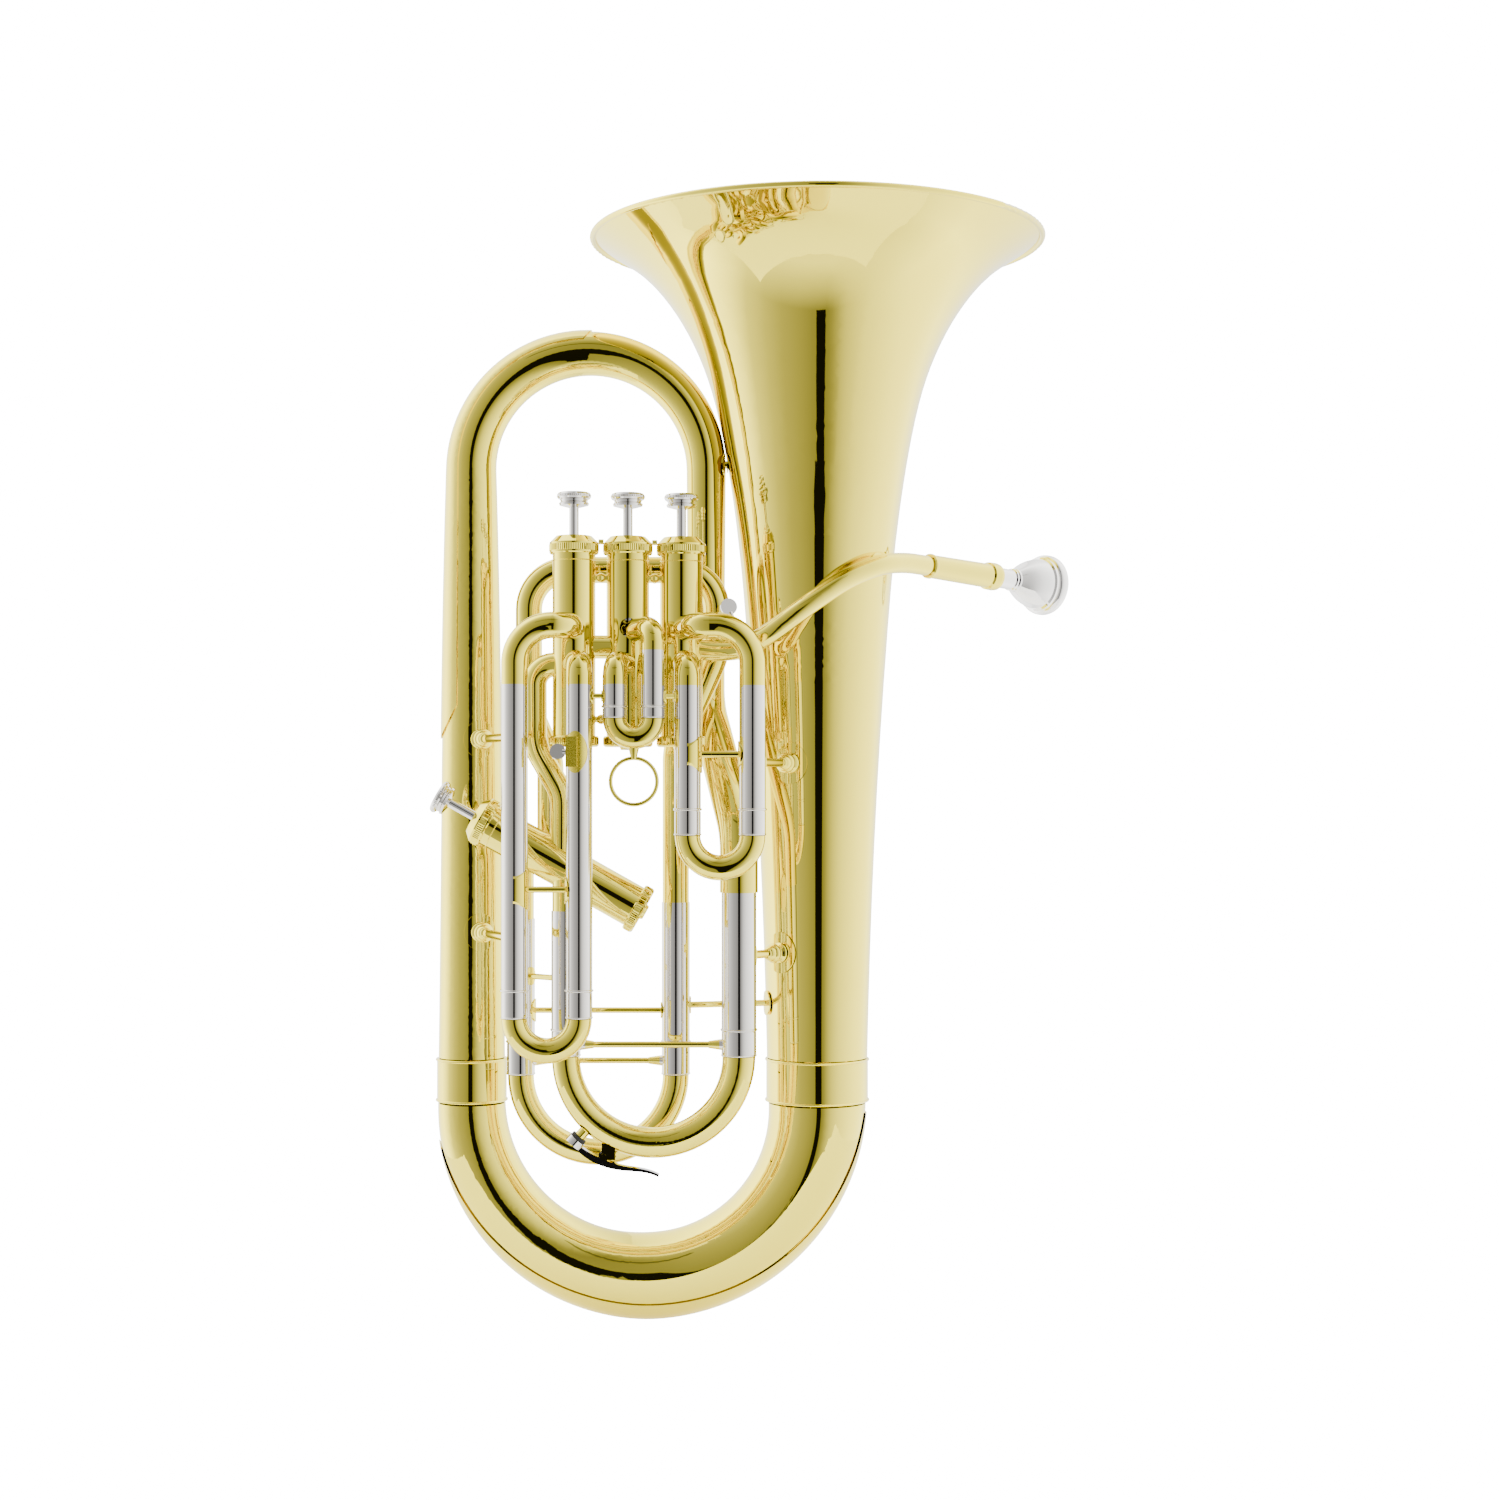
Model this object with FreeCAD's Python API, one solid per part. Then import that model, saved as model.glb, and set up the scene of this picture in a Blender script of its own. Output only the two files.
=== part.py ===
import FreeCAD, Part
import math
import os

# Four-valve euphonium with an upright bell.  Millimetres.  The origin is the lowest
# point of the bottom bow, +Z points up the bell, +X points from the leg towards the
# bell and -Y is the side of the three finger valves.
V = FreeCAD.Vector
OUT = "parts"

# ---- main body of the horn ----
BOW_R = 106.5            # centreline radius of the bottom bow
BOW_Z = 133.4            # height of its two ends
BELL_X = BOW_R           # bell axis
LEG_X = -BOW_R           # big left leg
WALL = 0.7               # sheet brass of bell and bows
GUARD = 0.9              # guard plates
BELL_TOP = 667.0
BELL_R = 140.0           # radius of the rim
BELL_SEAM = 478.0        # brazed joint between stem and flare
BELL_OUTLINE = [         # (height, outer radius)
    (161.5, 31.0), (295, 35.5), (357, 38.9), (419, 43.2), (460, 46.6), (493, 50.3), (526, 55.2),
    (556, 61.0), (581, 68.0), (605.5, 78.5), (630, 94.0), (649, 112.5), (660, 129.0), (665.5, 138.2)]
BEAD_R = 1.9             # wire rolled into the bell rim
LEG_TAPER = [(161.5, 20.4), (357, 18.3), (455, 16.8), (523, 15.1)]
TOP_R = 72.3             # centreline radius of the top bow
TOP_X = LEG_X + TOP_R
TOP_Z = 523.0
DOWN_X = TOP_X + TOP_R   # right leg of the top bow
BRANCH_JOIN = 430.0      # where that leg stops tapering
BRANCH_R = 11.4
BRANCH_TOP_R = 12.1

# ---- valves ----
CASE_R = 12.7
PISTON_R = 10.45
BORE_GAP = 0.06          # running clearance, radial
STEM_R = 2.85
CAP_R = 14.6
BUTTON_R = 10.1
STROKE = 16.5
CASE_LOW = 355.0
CASE_TOP = 470.0
VALVES = {1: V(24.1, -48, 0), 2: V(-7.6, -52.5, 0), 3: V(-39.3, -57, 0)}
PORT_HIGH = 422.0
PORT_MID = 411.0
PORT_LOW = 400.5
PORT_TUBE_R = 7.0        # port tubes between casings
LINK_R = 1.9             # ball braces between casings
LINK_BALL_R = 3.1
V4_TOP = V(-99.4, -48, 310.3)
V4_LOW = V(1.4, -48, 253.4)

# ---- tubing ----
PIPE = 0.5               # drawn tube wall
SLIDE_GAP = 0.08         # radial clearance of an inner slide tube
FRONT_Y = -85.0          # plane of the three front slides
MAIN_Y = -51.0           # plane of the main tuning slide
FOURTH_Y = -25.0         # plane of the fourth valve's tubing, behind the valves
# each leg: (x, y, outer radius, sleeve top, sleeve bottom, end of the slide's ferrule, top of inner tube)
SLIDE_1 = [(28.7, -80.0, 7.75, 387, 313.8, 299.5, 376), (66.5, -80.0, 7.75, 387, 313.8, 299.5, 376)]
SLIDE_2 = [(-13.7, FRONT_Y, 7.0, 387.5, 373.7, 367.7, 390),
           (8.7, FRONT_Y, 7.0, 407.4, 373.7, 367.7, 405)]
SLIDE_3 = [(-71.9, FRONT_Y, 7.75, 387.4, 208.5, 193.1, 329),
           (-34.3, FRONT_Y, 7.75, 387.4, 208.5, 193.1, 329)]
MAIN = [(-44.6, MAIN_Y, 8.7, 254, 182.4, 167.5, 246), (58.5, MAIN_Y, 10.4, 265, 182.4, 167.5, 246)]
FOURTH = [(-73.9, FOURTH_Y, 8.5, 248, 172.7, 153.6, 235), (20.1, FOURTH_Y, 8.5, 258, 172.7, 153.6, 235)]

# ---- leadpipe and mouthpiece ----
LEAD_R = 6.2
LEAD = [(24.1, -48, 411), (44, -49, 409), (60, -53, 409.5), (76, -60.5, 418), (97, -62, 434),
        (122, -56.5, 451.5), (144, -44, 461.5), (160, -25, 464), (174, -9, 463.5)]
RECEIVER_START = V(174, -9, 463.5)
RECEIVER_END = V(220, 30, 460)
MOUTH_DIR = (RECEIVER_END - RECEIVER_START).normalize()
SHANK_R = 5.95
SHANK_DEPTH = 26.0

# ---- lyre holder, thumb screws and water key ----
LYRE = V(-37.9, -97.4, 348.1)
LYRE_BORE = 2.6
SCREW_R = 1.4
COIN_THICK = 1.8
COIN_TURN = 0.25         # the coin heads are left turned a little off square
LEAD_BOSS = V(60, -53, 411.5)
LEAD_SCREW_DIR = V(-4.2, 0, 13).normalize()
MAIN_MID_X = (MAIN[0][0] + MAIN[1][0]) / 2
MAIN_HALF = (MAIN[1][0] - MAIN[0][0]) / 2
KEY_PIVOT = V(-21.9, MAIN_Y, 108.8)
KEY_PIN_R = 1.4
KEY_AXIS = V(-0.670, 0, -0.742)   # direction of the drain nipple, square to the bow


# ---------------------------------------------------------------- helpers
def fuse(solids):
    if len(solids) == 1:
        return solids[0]
    return solids[0].multiFuse(solids[1:]).removeSplitter()


def rod(start, end, radius):
    run = end - start
    return Part.makeCylinder(radius, run.Length, start, run)


def bead(centre, axis, radius, wire):
    return Part.makeTorus(radius, wire, centre, axis)


def bent(points, radius, bends):
    """Round bar along straight runs joined by tangent arcs."""
    points = [V(*p) for p in points]
    start = points[0]
    edges = []
    for i in range(1, len(points) - 1):
        into = (points[i] - points[i - 1]).normalize()
        out = (points[i + 1] - points[i]).normalize()
        turn = into.getAngle(out)
        back = bends[i - 1] * math.tan(turn / 2)
        arc_start = points[i] - into * back
        arc_end = points[i] + out * back
        inward = (out - into).normalize()
        sag = bends[i - 1] / math.cos(turn / 2) - bends[i - 1]
        if (arc_start - start).Length > 0.01:
            edges.append(Part.LineSegment(start, arc_start).toShape())
        edges.append(Part.Arc(arc_start, points[i] + inward * sag, arc_end).toShape())
        start = arc_end
    if (points[-1] - start).Length > 0.01:
        edges.append(Part.LineSegment(start, points[-1]).toShape())
    section = Part.Wire(Part.makeCircle(radius, points[0], points[1] - points[0]))
    return Part.Wire(edges).makePipeShell([section], True, False)


def pipe(points, radius, wall, bends):
    return bent(points, radius, bends).cut(bent(points, radius - wall, bends))


def smooth_bends(points, share=0.45):
    """Largest even bend at each corner of a gently curving route."""
    points = [V(*p) for p in points]
    bends = []
    for i in range(1, len(points) - 1):
        before = points[i] - points[i - 1]
        after = points[i + 1] - points[i]
        turn = before.getAngle(after)
        bends.append(share * min(before.Length, after.Length) / math.tan(turn / 2))
    return bends


def revolved(outline, base, axis):
    """Turned solid: outline is a closed list of (radius, distance along the axis)."""
    wire = Part.makePolygon([V(r, 0, z) for r, z in outline + outline[:1]])
    solid = Part.Face(wire).revolve(V(0, 0, 0), V(0, 0, 1), 360)
    return placed(solid, base, axis)


def placed(solid, base, axis):
    """Move a solid built up the Z axis on to another axis."""
    solid.Placement = FreeCAD.Placement(base, FreeCAD.Rotation(V(0, 0, 1), axis))
    return solid


def saddle(foot, tube_axis, tube_r, towards, tall, wide, thick=0.8):
    """Thin flange soldered to a tube, curved to its surface and oval in outline."""
    across = V(tube_axis).normalize()
    out = V(towards).normalize()
    oval = Part.Face(Part.Wire(Part.Ellipse(V(0, 0, 0), max(tall, wide + 0.01), wide).toShape()))
    turn = FreeCAD.Rotation(across, out.cross(across), out, "ZXY")
    block = oval.extrude(V(0, 0, tube_r + 2 * thick))
    block.Placement = FreeCAD.Placement(foot, turn)
    start = foot - across * (tall + 2)
    shell = Part.makeCylinder(tube_r + thick, 2 * tall + 4, start, across)
    shell = shell.cut(Part.makeCylinder(tube_r, 2 * tall + 4, start, across))
    return block.common(shell)


def save(shape, name):
    shape.exportStep(os.path.join(OUT, name + ".step"))


# ---------------------------------------------------------------- bell and bows
def offset_outline(points, inward):
    """Same outline moved square to itself, towards the axis."""
    moved = []
    for i in range(len(points)):
        z0, r0 = points[max(i - 1, 0)]
        z1, r1 = points[min(i + 1, len(points) - 1)]
        length = math.hypot(z1 - z0, r1 - r0)
        moved.append((points[i][0] + inward * (r1 - r0) / length,
                      points[i][1] - inward * (z1 - z0) / length))
    return moved


def spline(points):
    curve = Part.BSplineCurve()
    curve.interpolate([V(r, 0, z) for z, r in points])
    return curve.toShape()


def bell_wall(outline):
    """Sheet-metal wall turned round the bell's axis, standing inside its outline."""
    inner = offset_outline(outline, WALL)
    low = Part.makeLine(V(inner[0][1], 0, inner[0][0]), V(outline[0][1], 0, outline[0][0]))
    lip = Part.makeLine(V(outline[-1][1], 0, outline[-1][0]), V(inner[-1][1], 0, inner[-1][0]))
    wall = Part.Face(Part.Wire([low, spline(outline), lip, spline(inner)]))
    return wall.revolve(V(0, 0, 0), V(0, 0, 1), 360)


def bell_parts():
    """The slender stem and the spun flare, brazed edge to edge."""
    horn = bell_wall(BELL_OUTLINE)
    rim = bead(V(0, 0, BELL_TOP - BEAD_R), V(0, 0, 1), BELL_R - BEAD_R, BEAD_R)
    horn = horn.fuse(rim)
    horn.translate(V(BELL_X, 0, 0))
    above = Part.makeBox(400, 400, 300, V(BELL_X - 200, -200, BELL_SEAM))
    return horn.cut(above), horn.common(above), horn


def bow_loft(centre, radius, stations, grow):
    """Tapering bend in the XZ plane: stations are (angle, tube radius)."""
    sections = []
    for angle, tube_r in stations:
        section = Part.Wire(Part.makeCircle(tube_r + grow, V(radius, 0, 0), V(0, 0, 1)))
        section.rotate(V(0, 0, 0), V(0, 1, 0), angle)
        section.translate(centre)
        sections.append(section)
    return Part.makeLoft(sections, True, False)


def bottom_stations():
    """Grows from the leg's size to the bell's: 180 degrees is the leg, 0 the bell."""
    steps = [(i * 15, 30.0 - 4.0 * math.sin(math.radians(i * 15))) for i in range(0, 7)]
    narrow = [(90 + i * 15, 26.0 - 5.3 * i / 6) for i in range(1, 7)]
    return steps + narrow


def bottom_bow(grow):
    return bow_loft(V(0, 0, BOW_Z), BOW_R, bottom_stations(), grow)


def bottom_guard():
    plate = bottom_bow(GUARD).cut(bottom_bow(0))
    inside = Part.makeCylinder(134.8, 120, V(3, -60, BOW_Z + 14), V(0, 1, 0))
    above = Part.makeBox(400, 120, 100, V(-200, -60, BOW_Z - 6))
    return plate.cut(inside).cut(above)


def ferrule(x, low, high, radius):
    """Beaded sleeve over a joint between two tapered tubes."""
    sleeve = Part.makeCylinder(radius, high - low, V(x, 0, low))
    beads = [bead(V(x, 0, z), V(0, 0, 1), radius, 0.8) for z in (low + 0.8, high - 0.8)]
    return fuse([sleeve] + beads)


def ferrules():
    bell_side = ferrule(BELL_X, 134.5, 161.0, 31.4)
    leg_side = ferrule(LEG_X, 134.5, 161.0, 21.4)
    hollow = [Part.makeCylinder(30.1, 60, V(BELL_X, 0, 120)),
              Part.makeCylinder(20.0, 60, V(LEG_X, 0, 120))]
    return [bell_side.cut(hollow[0]), leg_side.cut(hollow[1])]


def leg_solid(grow):
    sections = [Part.Wire(Part.makeCircle(r + grow, V(LEG_X, 0, z))) for z, r in LEG_TAPER]
    return Part.makeLoft(sections, True, False)


def top_bow(grow):
    """180 degrees is the big left leg, 360 the narrow right leg."""
    stations = [(180 + i * 15, 15.1 - 3.0 * i / 12) for i in range(0, 13)]
    return bow_loft(V(TOP_X, 0, TOP_Z), TOP_R, stations, grow)


def top_guard():
    """Plate along the outer side of the top bow and the upper left leg."""
    plate = top_bow(GUARD).fuse(leg_solid(GUARD))
    plate = plate.cut(top_bow(0)).cut(leg_solid(0))
    inside = Part.makeCylinder(TOP_R + 7.5, 80, V(TOP_X, -40, TOP_Z), V(0, 1, 0))
    edge = LEG_X - 7.5
    corners = [(-130, 150), (-130, 350), (edge, 378), (edge, TOP_Z), (60, TOP_Z), (60, 150)]
    wire = Part.makePolygon([V(x, -40, z) for x, z in corners + corners[:1]])
    below = Part.Face(wire).extrude(V(0, 80, 0))
    right = [(-46, 590), (-28, 616), (90, 616), (90, 480), (-46, 480)]
    wire = Part.makePolygon([V(x, -40, z) for x, z in right + right[:1]])
    beyond = Part.Face(wire).extrude(V(0, 80, 0))
    return plate.cut(inside).cut(below).cut(beyond)


def down_branch_solid(inward):
    """Narrow leg of the top bow, bent forward to meet the main tuning slide."""
    x, y, _, top = MAIN[1][:4]
    start = V(DOWN_X, 0, BRANCH_JOIN)
    route = [tuple(start), (DOWN_X, 0, 378), (x, y, 300), (x, y, top)]
    straight = Part.makeCone(BRANCH_R - inward, BRANCH_TOP_R - inward, TOP_Z - BRANCH_JOIN, start)
    return fuse([straight, bent(route, BRANCH_R - inward, [34, 34])])


def down_branch():
    return down_branch_solid(0).cut(down_branch_solid(WALL))


# ---------------------------------------------------------------- valves
def casing(low, axis, length, bore_r):
    body = Part.makeCylinder(CASE_R, length, low, axis)
    direction = V(axis).normalize()
    line = bead(low + direction * (length - 8), axis, CASE_R, 0.35)
    return body.fuse(line).cut(Part.makeCylinder(bore_r, length, low, axis))


def top_cap(seat, axis):
    """Screw cap over the casing's end, with the stem hole in the middle."""
    hole = STEM_R + BORE_GAP
    outline = [(hole, 0.3), (12.7, 0.3), (12.7, -4.0), (14.2, -4.0), (CAP_R, -3.4), (CAP_R, 2.6),
               (14.0, 3.2), (10.6, 6.6), (6.2, 6.9), (6.2, 5.9), (hole, 5.9)]
    return revolved(outline, seat, axis)


def bottom_cap(seat, axis):
    outline = [(0, -0.3), (12.7, -0.3), (12.7, 3.0), (14.2, 3.0), (CAP_R, 2.4), (CAP_R, -2.6),
               (13.6, -3.4), (5.0, -3.4), (4.2, -5.2), (0, -5.2)]
    return revolved(outline, seat, axis)


def piston(top, axis, length, port_heights, port_dir):
    """Hollow pump: a closed tube crossed by the passages that line up with the ports."""
    direction = V(axis).normalize()
    low = top - direction * length
    body = Part.makeCylinder(PISTON_R, length, low, direction)
    body = body.cut(Part.makeCylinder(PISTON_R - 1.2, length - 10.4, low + direction * 9.2, direction))
    body = body.cut(Part.makeCylinder(PISTON_R - 3.2, 8, low, direction))
    wide = Part.makeCylinder(PISTON_R - 0.6, length - 2, low + direction, direction)
    for height in port_heights:
        middle = low + direction * height
        body = body.fuse(rod(middle - port_dir * 12, middle + port_dir * 12, 5.2).common(wide))
        body = body.cut(rod(middle - port_dir * 12, middle + port_dir * 12, 4.6))
    return body


def stem(foot, axis, length):
    direction = V(axis).normalize()
    body = Part.makeCylinder(STEM_R, length, foot, direction)
    collar = Part.makeCylinder(5.6, 2.0, foot, direction)
    return body.fuse(collar)


def button(foot, axis):
    """Waisted finger button with a dished top."""
    outline = [(0, 0), (4.2, 0), (8.6, 1.2), (9.0, 2.4), (8.0, 3.4), (8.4, 4.6), (BUTTON_R - 0.5, 5.2),
               (BUTTON_R, 6.0), (BUTTON_R, 7.6), (9.4, 8.6), (8.3, 9.0), (7.8, 8.4), (0, 8.1)]
    return revolved(outline, foot, axis)


def coil_spring(low, axis, length, turns, radius, wire):
    """Valve spring as a stack of coils, each joined to the next on alternate sides."""
    pitch = (length - 2 * wire) / turns
    pieces = [bead(V(0, 0, wire + pitch * i), V(0, 0, 1), radius, wire) for i in range(turns + 1)]
    for i in range(turns):
        side = radius if i % 2 else -radius
        pieces.append(Part.makeCylinder(wire * 0.8, pitch, V(side, 0, wire + pitch * i)))
    return placed(fuse(pieces), low, axis)


def valve(number, low, axis, length, ports):
    """One valve's parts as a dictionary; ports are (height, direction) through the casing."""
    direction = V(axis).normalize()
    piston_top = low + direction * (length - 8)
    piston_length = length - 44
    parts = {}
    shell = casing(low, direction, length, PISTON_R + BORE_GAP)
    for height, port_dir in ports:
        centre = low + direction * height
        shell = shell.cut(rod(centre, centre + port_dir * 14, 5.6))
    parts["valve_casing"] = shell
    parts["cap"] = top_cap(low + direction * length, direction)
    parts["foot"] = bottom_cap(low, direction)
    passages = [height - 36 for height, _ in ports[:3]]
    parts["piston"] = piston(piston_top, direction, piston_length, passages, ports[0][1])
    press = low + direction * (length + 6.9 + STROKE + 0.2)
    rod_length = (press - piston_top).Length + 3.0
    parts["stem"] = stem(piston_top, direction, rod_length)
    parts["finger_button"] = button(press, direction).cut(parts["stem"])
    parts["valve_spring"] = coil_spring(low + direction * 0.1, direction, 35.6, 7, 8.9, 0.55)
    return parts


def full_casings():
    """Plain solid cylinders that trim whatever is soldered to a valve casing."""
    solids = [Part.makeCylinder(CASE_R, CASE_TOP - CASE_LOW, V(v.x, v.y, CASE_LOW)) for v in VALVES.values()]
    solids.append(rod(V4_LOW, V4_TOP, CASE_R))
    return solids


def trimmed(shape, cutters):
    for cutter in cutters:
        shape = shape.cut(cutter)
    solids = sorted(shape.Solids, key=lambda part: part.Volume)
    return solids[-1]


def knuckles(trim):
    """Short bent tubes from the front valves to their slides, grouped by slide."""
    v1, v2, v3 = VALVES[1], VALVES[2], VALVES[3]
    groups = {}
    for name, legs, low_valve, high_route, bends in (
            ("slide_1_knuckles", SLIDE_1, v1, [(v1.x, v1.y, PORT_HIGH), (34, -80, PORT_HIGH)], [10, 22]),
            ("slide_2_knuckles", SLIDE_2, v2, [(v2.x, v2.y, PORT_HIGH - 1.5)], [9.5]),
            ("slide_3_knuckles", SLIDE_3, v3, [(v3.x, v3.y, PORT_HIGH), (-41, FRONT_Y, PORT_HIGH)], [10, 22])):
        near, far = (legs[1], legs[0]) if name == "slide_3_knuckles" else (legs[0], legs[1])
        x, y, r, top = near[:4]
        low_route = [(low_valve.x, low_valve.y, PORT_LOW), (x, y, PORT_LOW), (x, y, top)]
        low_tube = trimmed(pipe(low_route, r, PIPE, [9.5]), trim)
        x, y, r, top = far[:4]
        height = high_route[0][2]
        high_tube = trimmed(pipe(high_route + [(x, y, height), (x, y, top)], r, PIPE, bends), trim)
        groups[name] = [low_tube, high_tube]
    return groups


# ---------------------------------------------------------------- slides
def sleeves(legs):
    """Outer nickel-silver tubes with a half-round ring at the open end."""
    solids = []
    for x, y, r, top, ring_z, _, _ in legs:
        tube = Part.makeCylinder(r, top - ring_z, V(x, y, ring_z))
        tube = tube.fuse(bead(V(x, y, ring_z + 0.9), V(0, 0, 1), r, 0.7))
        solids.append(tube.cut(Part.makeCylinder(r - PIPE, top - ring_z, V(x, y, ring_z))))
    return solids


def slide(legs, bow_r):
    """Two inner tubes, their ferrules and the bow that joins them, as one soldered piece."""
    (x0, y, r0, _, ring_z, end_z, top0), (x1, _, r1, _, _, _, top1) = legs
    middle = V((x0 + x1) / 2, y, end_z)
    half = (x1 - x0) / 2
    thin = [(i * 15, bow_r[1] + (bow_r[0] - bow_r[1]) * i / 12) for i in range(13)]
    outer = [bow_loft(middle, half, thin, 0)]
    inner = [bow_loft(middle, half, thin, -PIPE - 0.6)]
    for x, r, top, bow in ((x0, r0, top0, bow_r[0]), (x1, r1, top1, bow_r[1])):
        tube_r = r - PIPE - SLIDE_GAP
        outer.append(Part.makeCylinder(r, ring_z - 0.3 - end_z, V(x, y, end_z)))
        outer.append(bead(V(x, y, end_z + 0.6), V(0, 0, 1), r - 0.15, 0.5))
        outer.append(Part.makeCylinder(tube_r, top - end_z, V(x, y, end_z)))
        inner.append(Part.makeCylinder(bow - PIPE - 0.6, top - end_z, V(x, y, end_z)))
    return fuse(outer).cut(fuse(inner))


def pull_ring():
    """Round wire ring standing in a little saddle under the second slide's bow."""
    (x0, y, r, _, _, end_z, _), (x1, _, _, _, _, _, _) = SLIDE_2
    x = (x0 + x1) / 2
    bow_bottom = end_z - (x1 - x0) / 2 - 6.8
    ring_r = 13.5
    loop = bead(V(x, y, bow_bottom - 5.2 - ring_r), V(0, 1, 0), ring_r, 1.2)
    foot = Part.makeCone(1.7, 3.2, 6.4, V(x, y, bow_bottom - 5.6))
    return loop.fuse(foot)


# ---------------------------------------------------------------- links between the valves
def crossover(trim):
    """Main tube out of the third valve, down and across into the fourth."""
    v3 = VALVES[3]
    route = [(v3.x, v3.y, PORT_LOW), (-62.9, -55, PORT_LOW), (-62.9, -52, 352), (-47, -50, 324),
             (-47, -50, 280)]
    return trimmed(pipe(route, 7.2, PIPE, [12, 26, 26]), trim)


def fourth_branch(trim):
    """Inverted U behind the valves, from the fourth valve round to its right sleeve."""
    y = FOURTH_Y
    x, _, _, top = FOURTH[1][:4]
    route = [(-56, -48, 287), (-56, y, 287), (-56, y, 345), (-69, y, 375), (-69, y, 459.5),
             (44.8, y, 459.5), (44.8, y, 408), (x, y, 352), (x, y, top)]
    return trimmed(pipe(route, 8.0, PIPE, [12.5, 28, 28, 24, 24, 40, 40]), trim)


def valve_4_knuckles(trim):
    """Short tubes from the fourth valve down to its slide and to the main slide."""
    x, y, _, top = FOURTH[0][:4]
    back = trimmed(pipe([(x, -48, 291), (x, y, 291), (x, y, top)], 7.9, PIPE, [12]), trim)
    x, y, _, top = MAIN[0][:4]
    down = trimmed(pipe([(x, y, 285), (x, y, 270), (x + 0.01, y, top)], 8.1, PIPE, [50]), trim)
    return [back, down]


def ball_link(start, end):
    """Little brace between two casings: a turned rod with a ball at its middle."""
    length = (end - start).Length
    middle = length / 2
    outline = [(0, 0), (LINK_R, 0), (LINK_R, middle - 2.4), (2.7, middle - 1.3), (LINK_BALL_R, middle),
               (2.7, middle + 1.3), (LINK_R, middle + 2.4), (LINK_R, length), (0, length)]
    return revolved(outline, start, end - start)


def casing_links(trim):
    """Straight port tubes and little ball braces between neighbouring casings."""
    solids = []
    for a, b in ((1, 2), (2, 3)):
        for height, kind in ((PORT_MID, "port"), (452, "ball"), (368, "ball"), (473.5, "stop")):
            start = V(VALVES[a].x, VALVES[a].y, height)
            end = V(VALVES[b].x, VALVES[b].y, height)
            if kind == "port":
                link = rod(start, end, PORT_TUBE_R).cut(rod(start, end, PORT_TUBE_R - PIPE))
            if kind == "ball":
                link = ball_link(start, end)
            if kind == "stop":
                link = rod(start, end, 1.6)
            cap_r = CAP_R if height > CASE_TOP else CASE_R
            for v in (VALVES[a], VALVES[b]):
                link = link.cut(Part.makeCylinder(cap_r, 140, V(v.x, v.y, 350)))
            solids.append(link)
    return solids


def leadpipe(trim):
    return trimmed(pipe(LEAD, LEAD_R, PIPE, smooth_bends(LEAD)), trim)


def receiver():
    """Sleeve that the mouthpiece shank pushes into, with a ring and a rolled collar."""
    length = (RECEIVER_END - RECEIVER_START).Length
    bore = SHANK_R + 0.07
    outline = [(LEAD_R - PIPE, 0), (LEAD_R + 0.9, 0), (LEAD_R + 1.5, 1.0), (LEAD_R + 1.5, 2.4),
               (LEAD_R + 1.0, 3.4), (7.6, length - 9), (8.6, length - 8), (8.75, length - 3),
               (8.4, length - 0.8), (7.6, length), (bore, length), (bore, length - SHANK_DEPTH - 0.5),
               (LEAD_R - PIPE, length - SHANK_DEPTH - 1.5)]
    return revolved(outline, RECEIVER_START, MOUTH_DIR)


def mouthpiece():
    """Deep cup, rounded rim and tapered shank with two turned beads."""
    outside = [(0, 6.4), (12, 6.3)]
    beads = [(12, 6.3), (12.8, 7.1), (13.8, 7.0), (14.4, 6.5), (15.2, 7.2), (16.4, 7.4)]
    cup = [(16.4, 7.4), (20, 9.6), (26, 12.9), (32, 15.0), (37, 15.9)]
    band = [(37, 15.9), (37.9, 17.3), (39.2, 17.3), (39.8, 16.5)]
    rim = [(39.8, 16.5), (41.0, 18.7), (43.6, 19.25), (46.6, 18.7), (48.3, 16.8), (48.5, 15.4),
           (47.7, 13.6), (45.6, 12.8)]
    bowl = [(45.6, 12.8), (38, 11.8), (30, 8.6), (24.5, 4.8), (21, 3.3)]
    tail = [(21, 3.3), (17, 3.3), (-SHANK_DEPTH, 4.8), (-SHANK_DEPTH, SHANK_R), (0, SHANK_R), (0, 6.4)]
    edges = []
    for stretch, curved in ((outside, False), (beads, False), (cup, True), (band, False), (rim, True),
                            (bowl, True), (tail, False)):
        if curved:
            edges.append(spline(stretch))
        else:
            edges += Part.makePolygon([V(r, 0, z) for z, r in stretch]).Edges
    body = Part.Face(Part.Wire(edges)).revolve(V(0, 0, 0), V(0, 0, 1), 360)
    return placed(body, RECEIVER_END + MOUTH_DIR * 0.3, MOUTH_DIR)


# ---------------------------------------------------------------- braces
def ball_post(start, end, radius):
    direction = (end - start).normalize()
    post = rod(start, end, radius)
    ball = Part.makeSphere(radius * 1.9, start + direction * (radius * 3.2))
    return post.fuse(ball)


def stay(tube_a, tube_b, z, flange, post_r, ball=True):
    """Brace between two upright tubes: each is (x, y, radius)."""
    a = V(tube_a[0], tube_a[1], z)
    b = V(tube_b[0], tube_b[1], z)
    towards = (b - a).normalize()
    start = a + towards * (tube_a[2] + 0.3)
    end = b - towards * (tube_b[2] + 0.3)
    post = ball_post(start, end, post_r) if ball else rod(start, end, post_r)
    up = V(0, 0, 1)
    solids = [post, saddle(a, up, tube_a[2], towards, flange, flange * 0.85),
              saddle(b, up, tube_b[2], towards * -1, flange * 0.7, flange * 0.5)]
    body = fuse(solids)
    for x, y, r in (tube_a, tube_b):
        body = body.cut(Part.makeCylinder(r, 60, V(x, y, z - 30)))
    return body


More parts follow.
